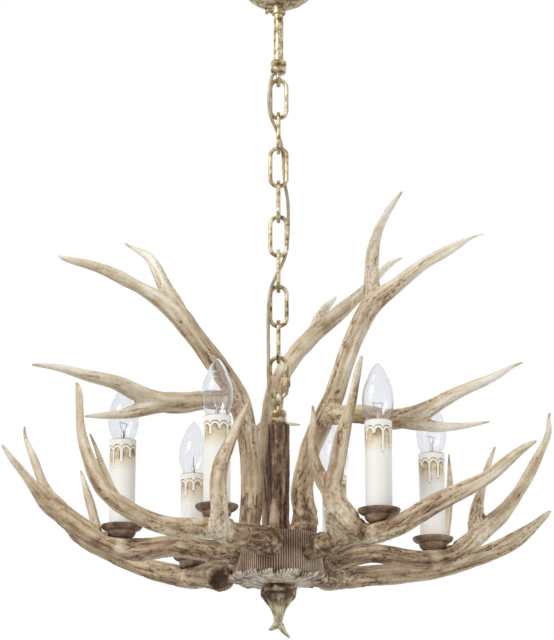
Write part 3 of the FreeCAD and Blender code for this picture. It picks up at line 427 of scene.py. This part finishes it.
def neighbours_mean(values, ends, count):
    """Each vertex's values averaged with its neighbours'."""
    total = values.copy()
    for k in range(values.shape[1]):
        total[:, k] += np.bincount(ends[:, 0], values[ends[:, 1], k], len(values))
        total[:, k] += np.bincount(ends[:, 1], values[ends[:, 0], k], len(values))
    return total / count[:, None]


def along_field(normal, ends, count, passes=40):
    """At each vertex, the direction in which the surface runs straightest: along a beam or a tine."""
    spread = np.einsum("ni,nj->nij", normal, normal).reshape(-1, 9)
    for _ in range(passes):
        spread = neighbours_mean(spread, ends, count)
    along = np.linalg.eigh(spread.reshape(-1, 3, 3))[1][:, :, 0]
    along -= normal * np.einsum("ni,ni->n", along, normal)[:, None]
    along /= np.maximum(np.linalg.norm(along, axis=1), 1e-9)[:, None]
    return along


def streaks(points, along, size, reach, seed, taps=15):
    """Noise drawn out along the field, from about -1 to 1."""
    total = np.zeros(len(points))
    for step in np.linspace(-reach, reach, taps):
        total += lattice_noise(points + along * step, size, seed)
    total -= total.mean()
    return np.clip(total / (2.2 * total.std()), -1, 1)


def girth_of(mesh, points, normal, ends, count):
    """How thick the branch is under each vertex, evened out over its neighbours, in metres."""
    work = bmesh.new()
    work.from_mesh(mesh)
    tree = BVHTree.FromBMesh(work)
    work.free()
    thick = np.empty((len(points), 1))
    for i, (p, n) in enumerate(zip(points, normal)):
        hit = tree.ray_cast(Vector(p - n * 2e-4), -Vector(n), 0.05)
        thick[i] = 0.03 if hit[3] is None else min(hit[3], 0.03)
    for _ in range(25):
        thick = neighbours_mean(thick, ends, count)
    return thick[:, 0]


def store(mesh, name, values):
    layer = mesh.attributes.new(name, "FLOAT", "POINT")
    layer.data.foreach_set("value", np.asarray(values, np.float32))


def tree_of(node):
    work = bmesh.new()
    work.from_mesh(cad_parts[node].data)
    tree = BVHTree.FromBMesh(work)
    work.free()
    return tree


def close_bores(mesh, inner_trees, run):
    """Take out the walls of the bores round leads, nipples and screws, and cover the lead's run."""
    work = bmesh.new()
    work.from_mesh(mesh)
    on_bore = {}
    for vertex in work.verts:
        on_bore[vertex] = any(tree.find_nearest(vertex.co, reach)[0] is not None
                              for tree, reach in inner_trees)
    walls = [face for face in work.faces if all(on_bore[vertex] for vertex in face.verts)]
    bmesh.ops.delete(work, geom=walls, context="FACES")
    open_edges = [edge for edge in work.edges if edge.is_boundary]
    bmesh.ops.holes_fill(work, edges=open_edges, sides=0)
    if run:
        start, end = Vector(run[0]) / 1000, Vector(run[1]) / 1000
        turn = (end - start).to_track_quat("Z", "Y").to_matrix().to_4x4()
        bmesh.ops.create_cone(work, cap_ends=True, segments=20, radius1=swell_radius, radius2=swell_radius,
                              depth=(end - start).length,
                              matrix=Matrix.Translation((start + end) / 2) @ turn)
    work.to_mesh(mesh)
    work.free()


def cast_skin(node, voxel, even_out=3, inner_trees=(), run=None):
    """A closed and evenly meshed copy of a CAD solid, ready to be carved."""
    piece = dressed(node, zinc)
    piece.data.materials.clear()
    if inner_trees:
        close_bores(piece.data, inner_trees, run)
    skin = piece.modifiers.new("skin", "REMESH")
    skin.mode = "VOXEL"
    skin.voxel_size = voxel
    calm = piece.modifiers.new("calm", "SMOOTH")
    calm.factor = 0.5
    calm.iterations = even_out
    mesh = applied(piece)
    piece.modifiers.clear()
    piece.data = mesh
    return piece, mesh


def carve_antler(node, seed, inner_trees):
    piece, mesh = cast_skin(node, antler_voxel, 3, inner_trees, lead_runs.get(node))
    points, normal = read(mesh, "co"), read(mesh, "normal")
    ends, count = edge_ends(mesh)
    along = along_field(normal, ends, count)
    girth = girth_of(mesh, points, normal, ends, count)
    body = np.clip((girth - 0.005) / 0.013, 0.15, 1)
    broad = streaks(points, along, 0.0050, 0.034, seed, 21)
    fine = streaks(points, along, 0.0021, 0.018, seed + 7, 21)
    line = streaks(points, along, 0.0032, 0.034, seed + 13, 25)
    patch = np.clip((lattice_noise(points, 0.022, seed + 17) - 0.38) / 0.2, 0, 1)
    crack = np.clip(1.2 - np.abs(line) / 0.13, 0, 1) * patch * np.clip(body * 1.4, 0, 1)
    lumps = lattice_noise(points, 0.018, seed + 3) - 0.5
    lift = body * (broad_depth * (broad - 0.4) + fine_depth * (fine - 0.3) + 0.0012 * (lumps - 0.25))
    lift -= crack_depth * crack
    burr_tone_and_painted_shade = np.zeros(len(points))
    for place, centre, reach, height, size, shade in rough_places:
        if place != node:
            continue
        away = np.linalg.norm(points - np.array(centre) / 1000, axis=1) / (reach / 1000)
        share = np.clip(1.6 * (1 - away), 0, 1)
        knobs = lattice_noise(points, size / 1000, seed + 23)
        pits = lattice_noise(points, size / 1900, seed + 29)
        lift += share * height / 1000 * (1.4 * knobs + 0.6 * pits - 1.0)
        burr_tone_and_painted_shade += share * (shade + 0.9 * (0.6 * knobs + 0.4 * pits - 0.5))
    if node == hollow_end[0]:
        away = points - np.array(hollow_end[1]) / 1000
        beyond = away @ hollow_way
        beside = np.linalg.norm(away - np.outer(beyond, hollow_way), axis=1) / hollow_radius
        on_face = (normal @ hollow_way > 0.8) * (np.abs(beyond) < 0.006)
        hollow = np.clip(1.6 * (1 - beside), 0, 1) * on_face
        lift -= hollow_depth * hollow
        # painted shade: the hollow is coloured darker as well as carved
        burr_tone_and_painted_shade -= 0.55 * hollow
    points = points + normal * lift[:, None]
    mesh.vertices.foreach_set("co", points.ravel())
    mesh.update()
    store(mesh, "groove", 0.62 * broad + 0.38 * fine)
    store(mesh, "crack", crack)
    store(mesh, "girth", girth * 1000)
    # the burr attribute carries the burr and web tone and, on the back left antler, the painted shade of the
    # hollow
    store(mesh, "burr", burr_tone_and_painted_shade)
    smooth(mesh)
    return piece, mesh


def maths(tree, operation, first, second, third=None):
    """A maths node; its inputs are numbers or other nodes' outputs."""
    node = tree.nodes.new("ShaderNodeMath")
    node.operation = operation
    for socket, value in zip(node.inputs, (first, second, third)):
        if value is None:
            continue
        if isinstance(value, (int, float)):
            socket.default_value = value
        else:
            tree.links.new(value, socket)
    return node.outputs[0]


def attribute(tree, name):
    node = tree.nodes.new("ShaderNodeAttribute")
    node.attribute_name = name
    return node.outputs["Fac"]


def remap(tree, value, from_low, from_high, to_low, to_high):
    node = tree.nodes.new("ShaderNodeMapRange")
    for name, number in (("From Min", from_low), ("From Max", from_high),
                         ("To Min", to_low), ("To Max", to_high)):
        node.inputs[name].default_value = number
    tree.links.new(value, node.inputs["Value"])
    return node.outputs["Result"]


def antler_finish(name, colours, base=0.50, stain=0.0):
    """Colours run from the cracks' dark brown over tan to the ridges' and tips' cream."""
    finish, shader = new_finish(name, colours[2], 0.58)
    tree = finish.node_tree
    place = tree.nodes.new("ShaderNodeTexCoord").outputs["Object"]
    cloud = finish_node(tree, "ShaderNodeTexNoise", Scale=26.0, Detail=5.0, Roughness=0.62)
    speck = finish_node(tree, "ShaderNodeTexNoise", Scale=320.0, Detail=3.0, Roughness=0.6)
    from_hub = tree.nodes.new("ShaderNodeVectorMath")
    from_hub.operation = "DISTANCE"
    from_hub.inputs[1].default_value = (0, 0, -0.715)
    for node in (cloud, speck, from_hub):
        tree.links.new(place, node.inputs[0])
    level = maths(tree, "MULTIPLY_ADD", attribute(tree, "groove"), 0.34, base)
    level = maths(tree, "ADD", level, remap(tree, attribute(tree, "girth"), 24.0, 7.0, 0.0, 0.30))
    level = maths(tree, "ADD", level, remap(tree, attribute(tree, "girth"), 5.0, 2.5, 0.0, -0.34))
    level = maths(tree, "SUBTRACT", level, remap(tree, from_hub.outputs["Value"], 0.05, 0.26, stain, 0.0))
    level = maths(tree, "MULTIPLY_ADD", maths(tree, "SUBTRACT", cloud.outputs["Fac"], 0.5), 0.55, level)
    level = maths(tree, "MULTIPLY_ADD", maths(tree, "SUBTRACT", speck.outputs["Fac"], 0.5), 0.35, level)
    level = maths(tree, "ADD", level, attribute(tree, "burr"))
    level = maths(tree, "MULTIPLY_ADD", attribute(tree, "crack"), -0.40, level)
    ramp = tree.nodes.new("ShaderNodeValToRGB")
    while len(ramp.color_ramp.elements) < len(colours):
        ramp.color_ramp.elements.new(0.5)
    for element, at, colour in zip(ramp.color_ramp.elements, (0.0, 0.24, 0.50, 0.74, 1.0), colours):
        element.position = at
        element.color = (*colour, 1)
    tree.links.new(level, ramp.inputs["Fac"])
    tree.links.new(ramp.outputs["Color"], shader.inputs["Base Color"])
    bump = tree.nodes.new("ShaderNodeBump")
    bump.inputs["Distance"].default_value = 0.0004
    tree.links.new(speck.outputs["Fac"], bump.inputs["Height"])
    tree.links.new(bump.outputs["Normal"], shader.inputs["Normal"])
    return finish


antler_tones = [(0.085, 0.042, 0.020), (0.30, 0.185, 0.105), (0.56, 0.435, 0.275), (0.76, 0.66, 0.50),
                (0.93, 0.88, 0.80)]
upper_stain = antler_finish("upper_antler_stain", antler_tones, 0.58, 0.26)
lower_stain = antler_finish("lower_antler_stain", antler_tones, 0.43, 0.20)
antlers = ["upper_antler_left", "upper_antler_right", "upper_antler_back", "lower_antler_left",
           "lower_antler_back_left", "lower_antler_front_left", "lower_antler_front_right",
           "lower_antler_right", "lower_antler_back_right"]
inner_trees = [(tree_of("candle_leads"), 0.0017), (tree_of("candle_nipples"), 0.0004),
               (tree_of("antler_screws"), 0.0004)]
for k, node in enumerate(antlers):
    piece, mesh = carve_antler(node, 11 + 5 * k, inner_trees)
    mesh.materials.append(upper_stain if node.startswith("upper") else lower_stain)
    put_on(piece, "fixture", "antler_resin", node)

# ------------------------------------------------------------------ column, hub, rosette and finial
# Turned and carved to look like bark, and stained brown. The drum has fine upright ribs, the rosette
# below it pale ruffled petals, and the finial is a knobbed burr that ends in two twisted pale tips.
bark_tones = {
    "column": [(0.020, 0.008, 0.004), (0.078, 0.036, 0.018), (0.20, 0.110, 0.058),
               (0.38, 0.25, 0.16), (0.62, 0.50, 0.39)],
    "drum": [(0.055, 0.026, 0.013), (0.17, 0.095, 0.054), (0.34, 0.225, 0.145),
             (0.52, 0.40, 0.29), (0.68, 0.58, 0.47)],
    "rosette": [(0.060, 0.034, 0.020), (0.26, 0.180, 0.125), (0.56, 0.445, 0.345),
                (0.80, 0.70, 0.59), (0.92, 0.86, 0.78)],
    "finial": [(0.030, 0.015, 0.008), (0.100, 0.056, 0.030), (0.24, 0.160, 0.095),
               (0.42, 0.345, 0.200), (0.68, 0.61, 0.46)],
}
for k, (node, voxel) in enumerate((("column", 0.0009), ("finial", 0.0008))):
    piece, mesh = cast_skin(node, voxel, 1)
    points, normal = read(mesh, "co"), read(mesh, "normal")
    ends, count = edge_ends(mesh)
    along = along_field(normal, ends, count, 25)
    grain = streaks(points, along, 0.0032, 0.018, 101 + k)
    lumps = lattice_noise(points, 0.006, 131 + k) - 0.5
    line = streaks(points, along, 0.0034, 0.020, 111 + k)
    crack = np.clip(1.2 - np.abs(line) / 0.2, 0, 1)
    girth = np.full(len(points), 24.0)
    burr = np.zeros(len(points))
    if node == "finial":
        upper = np.clip((points[:, 2] + 0.782) / 0.014, 0, 1)
        wider = 1 + 0.22 * np.exp(-((points[:, 2] + 0.772) / 0.009) ** 2)
        points[:, :2] *= wider[:, None]
        knobs = lattice_noise(points, 0.0045, 141)
        burr = upper * (0.9 * (knobs - 0.5) - 0.10)
        lumps = lumps + upper * 2.4 * (knobs - 0.6)
        girth = 8.0 + 16.0 * upper
        crack = crack * (1 - 0.7 * upper)
    lift = 0.0007 * (grain - 0.4) + 0.0006 * lumps - 0.0005 * crack
    points = points + normal * lift[:, None]
    mesh.vertices.foreach_set("co", points.ravel())
    mesh.update()
    for name, values in (("groove", grain), ("crack", 0.8 * crack), ("girth", girth), ("burr", burr)):
        store(mesh, name, values)
    smooth(mesh)
    mesh.materials.append(antler_finish(node + "_stain", bark_tones[node]))
    put_on(piece, "fixture", "bark_resin", node)


def turned_skin(name, outline, steps, cuts=7):
    """A closed ring: an outline of (radius, height) points in mm spun about the axis, then cut finer."""
    work = bmesh.new()
    verts = [work.verts.new((r / 1000, 0, z / 1000)) for r, z in outline]
    edges = [work.edges.new(pair) for pair in zip(verts, verts[1:] + verts[:1])]
    bmesh.ops.spin(work, geom=verts + edges, cent=(0, 0, 0), axis=(0, 0, 1), dvec=(0, 0, 0),
                   angle=2 * math.pi, steps=steps, use_merge=True)
    across = [e for e in work.edges if abs(e.verts[0].co.cross(e.verts[1].co).z) > 1e-9]
    bmesh.ops.subdivide_edges(work, edges=across, cuts=cuts)
    bmesh.ops.recalc_face_normals(work, faces=work.faces)
    mesh = bpy.data.meshes.new(name)
    work.to_mesh(mesh)
    work.free()
    smooth(mesh)
    return mesh


def round_axis(mesh):
    """Each vertex's place, its radius and height in mm and its turn about the axis."""
    flat = read(mesh, "co")
    x, y, z = flat.T
    return flat, np.hypot(x, y) * 1000, z * 1000, np.arctan2(y, x) % (2 * np.pi)


def settle(mesh, r, z, turn, at=(0, 0, 0)):
    """Puts the vertices at their new radius, height and turn about an axis through at."""
    place = np.stack([r * np.cos(turn), r * np.sin(turn), z], axis=-1) / 1000 + np.array(at)
    mesh.vertices.foreach_set("co", place.ravel())
    mesh.update()


def loop_of(corners, step):
    """Points every step or so along a closed outline of (radius, height) corners."""
    points = []
    for (r0, z0), (r1, z1) in zip(corners, corners[1:] + corners[:1]):
        parts = max(1, round(math.hypot(r1 - r0, z1 - z0) / step))
        points += [(r0 + (r1 - r0) * k / parts, z0 + (z1 - z0) * k / parts) for k in range(parts)]
    return points


drum_low, drum_high, drum_roof = -745.6, -698.6, -708.6
drum_mesh = turned_skin("drum_ribs", loop_of(
    [(52, drum_low), (52, drum_high), (5.1, drum_high), (5.1, drum_roof), (38, drum_roof), (38, drum_low)],
    2.4), 98)
flat, r, z, turn = round_axis(drum_mesh)
wander = lattice_noise(flat * np.array((1, 1, 0.12)), 0.016, 201)
depth = lattice_noise(flat, 0.011, 203)
ribs = 112
rib = np.cos(turn * ribs + 5.0 * wander)
outer = np.clip((r - 47) / 5, 0, 1)
rough = lattice_noise(flat, 0.0028, 205) - 0.5
r = r - outer * ((0.25 + 0.75 * depth) * 0.65 * (1 - rib) + 0.5 * rough + 0.1)
settle(drum_mesh, r, z, turn)
store(drum_mesh, "groove", outer * (0.9 * rib + 0.5 * rough))
store(drum_mesh, "crack", outer * np.clip(-rib - 0.45, 0, 1) * (0.5 + depth))
store(drum_mesh, "girth", np.full(r.size, 24.0))
store(drum_mesh, "burr", 0.5 * (depth - 0.5))
drum_mesh.materials.append(antler_finish("drum_stain", bark_tones["drum"]))
put_on(link_object("hub_drum_skin", drum_mesh), "fixture", "bark_resin", "hub_drum")

petal_top, petal_low = -745.6, -753.6
rosette_mesh = turned_skin("rosette_petals", loop_of(
    [(5.1, petal_top), (52, petal_top), (55.5, petal_top + 1.2), (56.5, petal_top - 0.3),
     (54.5, petal_top - 2.2), (24, petal_low), (5.1, petal_low)], 1.5), 98)
flat, r, z, turn = round_axis(rosette_mesh)
petals = 14
swing = turn + 0.10 * np.sin(3 * turn + 0.7) + 0.07 * np.sin(5 * turn + 2.1)
petal = np.abs(np.cos(petals / 2 * swing))
side = np.sin(petals / 2 * swing) * np.sign(np.cos(petals / 2 * swing))
veins = 96
vein = np.cos(turn * veins + 2.0 * np.sin(7 * turn))
outer = np.clip((r - 24) / 32.5, 0, 1) ** 1.5
under = np.clip((petal_top - 0.8 - z) / 1.0, 0, 1)
rough = lattice_noise(flat, 0.0030, 211) - 0.5
z = z + outer * (1.7 * side - 1.9 * (1 - petal) ** 2 * under)
z = z + under * outer * (0.55 * vein + 0.7 * rough)
r = r - outer * (4.2 * (1 - petal) ** 2 + 0.5 * (1 - vein) + 1.2 * rough - 0.4)
settle(rosette_mesh, r, z, turn)
fold = np.clip(1 - petal * 2.4, 0, 1)
store(rosette_mesh, "groove", outer * (0.75 * vein + 0.5 * side) + 0.4 * rough)
store(rosette_mesh, "crack", fold * outer + 0.35 * np.clip(-vein - 0.5, 0, 1))
store(rosette_mesh, "girth", np.full(r.size, 24.0))
store(rosette_mesh, "burr", 0.5 * rough + 0.05)
rosette_mesh.materials.append(antler_finish("rosette_stain", bark_tones["rosette"]))
put_on(link_object("hub_rosette_skin", rosette_mesh), "fixture", "bark_resin", "hub_rosette")

# ------------------------------------------------------------------ drip pans
# Spun steel cups with a wide rolled rim, painted dark bronze and rubbed on the edges. A nipple with a
# nut inside each cup holds it on the antler's flat.
bronze, bronze_shader = new_finish("bronze", (0.12, 0.085, 0.06), 0.45, 0.35)
mottle(bronze, bronze_shader, 90, 5, [(0.32, (0.095, 0.054, 0.031)), (0.55, (0.275, 0.180, 0.112)),
                                      (0.78, (0.56, 0.45, 0.33))])
roughen(bronze, bronze_shader, 700, 0.00012, 0.32, 0.6)
put_on(dressed("drip_pans", bronze), "fixture", "pan_metal", "drip_pans")

# ------------------------------------------------------------------ candle sleeves
# Moulded ivory tubes, 29 mm wide and 103 mm tall. A plain band at the top has a scalloped lower edge
# whose points run on as wax drips of several lengths, with arched hollows between them. Brown glaze
# is wiped into the hollows and along the edges.
wax, wax_shader = new_finish("wax", (0.96, 0.94, 0.885), 0.40)
wax_tree = wax.node_tree
glaze_ramp = wax_tree.nodes.new("ShaderNodeValToRGB")
glaze_ramp.color_ramp.elements.new(0.5)
glaze_ramp.color_ramp.elements.new(0.5)
glaze_tones = [(0.0, (0.96, 0.94, 0.885)), (0.28, (0.81, 0.71, 0.51)), (0.55, (0.42, 0.29, 0.13)),
               (0.9, (0.07, 0.04, 0.02))]
for element, (at, colour) in zip(glaze_ramp.color_ramp.elements, glaze_tones):
    element.position = at
    element.color = (*colour, 1)
stain_noise = finish_node(wax_tree, "ShaderNodeTexNoise", Scale=110.0, Detail=3.0, Roughness=0.6)
wax_tree.links.new(wax_tree.nodes.new("ShaderNodeTexCoord").outputs["Object"], stain_noise.inputs[0])
uneven = remap(wax_tree, stain_noise.outputs["Fac"], 0.35, 0.65, 0.55, 1.15)
glaze_level = maths(wax_tree, "MULTIPLY", attribute(wax_tree, "glaze"), uneven)
wax_tree.links.new(glaze_level, glaze_ramp.inputs["Fac"])
wax_tree.links.new(glaze_ramp.outputs["Color"], wax_shader.inputs["Base Color"])
wax_shader.inputs["Subsurface Weight"].default_value = 0.12
wax_shader.inputs["Subsurface Radius"].default_value = (0.004, 0.003, 0.002)
arches = 9
sleeve_radius = 14.7
sleeve_bore = 12.5
modelled_down = 46      # the band and the drips end above this, in mm from the top
arch_half = math.pi * sleeve_radius / arches
for k in range(1, 7):
    low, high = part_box("candle_sleeve_%d" % k)
    left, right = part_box("bulb_glass_%d" % k)
    middle = ((left[0] + right[0]) / 2, (left[1] + right[1]) / 2, high[2])
    tall = (high[2] - low[2]) * 1000
    below = np.concatenate([np.arange(0, modelled_down, 0.5), np.arange(modelled_down, tall, 2.5), [tall]])
    outline = [(sleeve_radius, -s) for s in below] + [(sleeve_bore, -tall * (1 - j / 6)) for j in range(7)]
    mesh = turned_skin("sleeve_%d" % k, outline, 36)
    _, r, z, t = round_axis(mesh)
    wall = r > (sleeve_radius + sleeve_bore) / 2
    s = -z
    share = t * arches / (2 * np.pi)
    cusp = np.round(share)
    off = share - cusp                                    # 0 on a drip, 0.5 in the middle of an arch
    drip = cusp.astype(int) % arches
    lengths = 17 + 23 * np.array([((7 * j + 5 * k) % 9) / 8 for j in range(arches)])
    widths = 0.125 + 0.05 * np.array([((5 * j + 2 * k) % 7) / 6 for j in range(arches)])
    reach, half = lengths[drip], widths[drip]
    bead = 0.035 * np.exp(-((s - reach + 2.2) / 2.4) ** 2)
    side = (half + bead - np.abs(off)) * 2 * arch_half
    end = reach - s - 6.0 * off ** 2 / half ** 2 * 0.25
    arch_top = 10.4 + 26.0 * (0.5 - np.abs(off)) ** 2
    inside = np.maximum(arch_top - s, np.minimum(side, end))
    band = 7.2 + 3.0 * np.exp(-(off / 0.16) ** 2) - s
    crown = np.sqrt(np.clip(side / (2 * arch_half * half), 0, 1))
    rise = 0.50 * np.clip(0.5 + inside / 0.7, 0, 1) * (0.55 + 0.45 * crown)
    rise += 0.28 * np.clip(0.5 + band / 0.6, 0, 1)
    edge = np.clip(1.35 - np.abs(inside + 0.5) / 0.65, 0, 1) * np.clip(1.30 - s / 45, 0.3, 1)
    rim = np.clip(1.4 - np.abs(band + 0.35) / 0.55, 0, 1)
    hollow = np.clip(-inside / 1.0, 0, 1) * np.clip(1 - (s - 12) / 26, 0, 1) * (s < modelled_down) * 0.62
    top_line = np.clip(1.3 - s / 0.8, 0, 1) * 0.75
    glaze = np.maximum.reduce([0.92 * edge * (s > 8), 1.0 * rim, hollow, top_line])
    settle(mesh, np.where(wall, sleeve_radius + rise, r), z, t + math.radians(47.0 * k + 20), middle)
    store(mesh, "glaze", glaze * wall)
    mesh.materials.append(wax)
    sleeve = link_object("candle_sleeve_%d_skin" % k, mesh)
    put_on(sleeve, "fixture", "ivory_plastic", "candle_sleeve_%d" % k)

# ------------------------------------------------------------------ lampholders, leads and other inner parts
# White lampholders stand on threaded nipples inside the sleeves. Clear leads run from them through the
# antlers to a block on the lamp pipe, and countersunk screws hold the antlers to the hub.
clear_sheath, clear_shader = new_finish("clear_sheath", (0.62, 0.60, 0.55), 0.3)
roughen(clear_sheath, clear_shader, 400, 0.00005, 0.22, 0.35)
for node, finish, slot_name in [
        ("lampholders", white_plastic, "holder_plastic"), ("junction_block", white_plastic, "block_plastic"),
        ("candle_nipples", zinc, "zinc_steel"), ("lamp_pipe", zinc, "zinc_steel"),
        ("pipe_nuts", zinc, "zinc_steel"), ("antler_screws", zinc, "zinc_steel"),
        ("candle_leads", clear_sheath, "lead_plastic")]:
    put_on(dressed(node, finish), "fixture", slot_name, node)

# ------------------------------------------------------------------ candle bulbs
# Clear flame-shaped bulbs on small screw caps, with a glass stem and a short filament on wires.
clear_glass, glass_shader = new_finish("clear_glass", (0.97, 0.975, 0.985), 0.0)
glass_shader.inputs["Transmission Weight"].default_value = 1.0
glass_shader.inputs["IOR"].default_value = 1.45
glass_shader.inputs["Coat Weight"].default_value = 1.0
glass_shader.inputs["Coat IOR"].default_value = 1.05
glass_shader.inputs["Coat Roughness"].default_value = 0.0
glass_shader.inputs["Coat Tint"].default_value = (0.971, 0.973, 0.979, 1)
cap_brass, cap_shader = new_finish("cap_metal", (0.62, 0.60, 0.55), 0.3, 0.9)
mottle(cap_brass, cap_shader, 200, 3, [(0.35, (0.40, 0.38, 0.34)), (0.7, (0.68, 0.67, 0.62))])
for k in range(1, 7):
    put_on(dressed("bulb_glass_%d" % k, clear_glass), "bulb_%d" % k, "clear_glass", "bulb_glass_%d" % k)
    put_on(dressed("bulb_cap_%d" % k, cap_brass), "bulb_%d" % k, "aged_metal", "bulb_cap_%d" % k)
